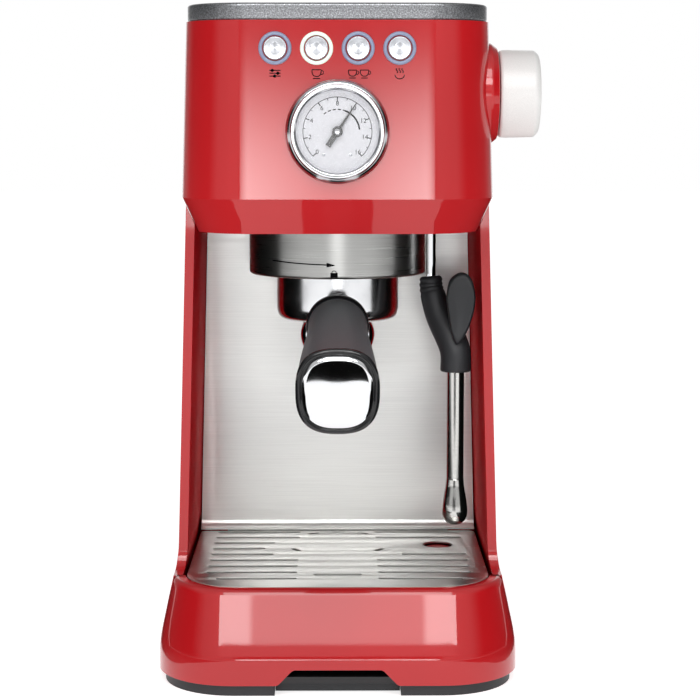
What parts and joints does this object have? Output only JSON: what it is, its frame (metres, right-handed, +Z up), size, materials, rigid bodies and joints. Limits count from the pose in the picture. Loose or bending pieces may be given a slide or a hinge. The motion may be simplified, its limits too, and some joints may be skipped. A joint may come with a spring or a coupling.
{
  "type": "espresso machine",
  "caption": "Slim espresso machine with portafilter, pressure gauge, push buttons, steam knob and wand, pull-out drip tray and rear water tank.",
  "frame": {"origin": "centre of the base on the worktop, on the underside of the rubber foot ring", "axes": "+Z up, -Y towards the user (front), +X towards the steam knob; Y is the longest extent and X the shortest"},
  "size_m": [0.1839, 0.3786, 0.325],
  "materials": {
    "red_enamel": "gloss",
    "grey_lid": "metallic satin",
    "brushed_steel": "brushed",
    "chrome": "polished",
    "black_plastic": "satin",
    "black_rubber": "matte",
    "soft_grip": "soft touch",
    "smoked_plastic": "clear tinted",
    "button_cap": "spun",
    "button_ring": "translucent",
    "dial_white": "printed",
    "clear_glass": "clear",
    "needle_black": "painted",
    "white_knob": "satin",
    "brass": "machined",
    "aluminium": "cast",
    "zinc_steel": "zinc plated",
    "float_red": "gloss",
    "pump_body": "moulded",
    "coil_blue": "moulded",
    "board_green": "printed circuit",
    "silicone": "translucent"
  },
  "bodies": {
    "housing": {"foot_ring": "black_rubber", "chassis_base": "black_plastic", "chassis_plate": "zinc_steel", "body_shell": "red_enamel", "head_shell": "red_enamel", "head_floor": "black_plastic", "back_panel": "brushed_steel", "rear_cover": "black_plastic", "top_cover": "grey_lid", "cup_plate": "brushed_steel", "tank_seat": "black_plastic", "button_rings": "button_ring", "button_board": "board_green", "gauge_case": "black_plastic", "gauge_bezel": "chrome", "gauge_dial": "dial_white", "gauge_glass": "clear_glass", "knob_boss": "red_enamel", "steam_valve": "brass", "wand_socket": "brass", "group_collar": "brushed_steel", "group_head": "brass", "group_gasket": "black_rubber", "shower_screen": "brushed_steel", "screen_screw": "zinc_steel", "thermoblock": "aluminium", "pump": "pump_body", "pump_mounts": "black_rubber", "solenoid_valve": "coil_blue", "control_board": "board_green", "water_lines": "silicone", "gland_plate": "red_enamel", "cable_gland": "black_plastic"},
    "tray": {"drip_tray": "black_plastic", "tray_front": "red_enamel"},
    "grid": {"drip_grid": "brushed_steel"},
    "float": {"tray_float": "float_red"},
    "portafilter": {"portafilter_body": "chrome", "filter_basket": "brushed_steel", "portafilter_spout": "chrome", "handle_rod": "zinc_steel", "handle_grip": "soft_grip", "handle_cap": "chrome"},
    "knob": {"steam_knob": "white_knob", "valve_spindle": "brass"},
    "wand_swivel": {"wand_seat": "chrome"},
    "wand": {"wand_pipe": "chrome", "wand_grip": "black_rubber", "wand_sleeve": "brushed_steel", "wand_tip": "brushed_steel"},
    "program_button": {"button_program": "button_cap"},
    "single_button": {"button_single": "button_cap"},
    "double_button": {"button_double": "button_cap"},
    "steam_button": {"button_steam": "button_cap"},
    "needle": {"gauge_needle": "needle_black"},
    "tank": {"water_tank": "smoked_plastic", "lid_hinge_rod": "zinc_steel"},
    "tank_lid_body": {"tank_lid": "grey_lid"},
    "outlet_valve": {"tank_valve": "black_plastic"}
  },
  "joints": [
    {"name": "tray_slide", "type": "slide", "parent": "housing", "child": "tray", "axis": [0, -1, 0], "range_m": [0, 0.15]},
    {"name": "grid_lift", "type": "slide", "parent": "tray", "child": "grid", "axis": [0, 0, 1], "range_m": [0, 0.005]},
    {"name": "float_rise", "type": "slide", "parent": "tray", "child": "float", "axis": [0, 0, 1], "range_m": [0, 0.008]},
    {"name": "portafilter_twist", "type": "hinge", "parent": "housing", "child": "portafilter", "pos_m": [0, -0.056, 0.2], "axis": [0, 0, 1], "range_deg": [-42, 0]},
    {"name": "steam_knob_turn", "type": "hinge", "parent": "housing", "child": "knob", "pos_m": [0.078, -0.11, 0.2839], "axis": [1, 0, 0], "range_deg": [0, 200]},
    {"name": "wand_swing", "type": "hinge", "parent": "housing", "child": "wand_swivel", "pos_m": [0.047, -0.075, 0.228], "axis": [0, 0, 1], "range_deg": [-40, 0]},
    {"name": "wand_tilt", "type": "hinge", "parent": "wand_swivel", "child": "wand", "pos_m": [0.047, -0.075, 0.228], "axis": [-1, 0, 0], "range_deg": [0, 30]},
    {"name": "program_press", "type": "slide", "parent": "housing", "child": "program_button", "axis": [0, 1, 0], "range_m": [0, 0.0015], "stiffness_N_per_m": 300, "springref_m": -0.001},
    {"name": "single_press", "type": "slide", "parent": "housing", "child": "single_button", "axis": [0, 1, 0], "range_m": [0, 0.0015], "stiffness_N_per_m": 300, "springref_m": -0.001},
    {"name": "double_press", "type": "slide", "parent": "housing", "child": "double_button", "axis": [0, 1, 0], "range_m": [0, 0.0015], "stiffness_N_per_m": 300, "springref_m": -0.001},
    {"name": "steam_press", "type": "slide", "parent": "housing", "child": "steam_button", "axis": [0, 1, 0], "range_m": [0, 0.0015], "stiffness_N_per_m": 300, "springref_m": -0.001},
    {"name": "needle_turn", "type": "hinge", "parent": "housing", "child": "needle", "pos_m": [0, -0.15, 0.2662], "axis": [0, 1, 0], "range_deg": [-168.75, 101.25], "stiffness_Nm_per_rad": 0.00002},
    {"name": "tank_lift", "type": "slide", "parent": "housing", "child": "tank", "axis": [0, 0, 1], "range_m": [0, 0.27]},
    {"name": "tank_lid_turn", "type": "hinge", "parent": "tank", "child": "tank_lid_body", "pos_m": [0, 0.154, 0.314], "axis": [-1, 0, 0], "range_deg": [0, 95]},
    {"name": "outlet_valve_rise", "type": "slide", "parent": "tank", "child": "outlet_valve", "axis": [0, 0, 1], "range_m": [0, 0.003], "stiffness_N_per_m": 30, "springref_m": -0.002}
  ]
}
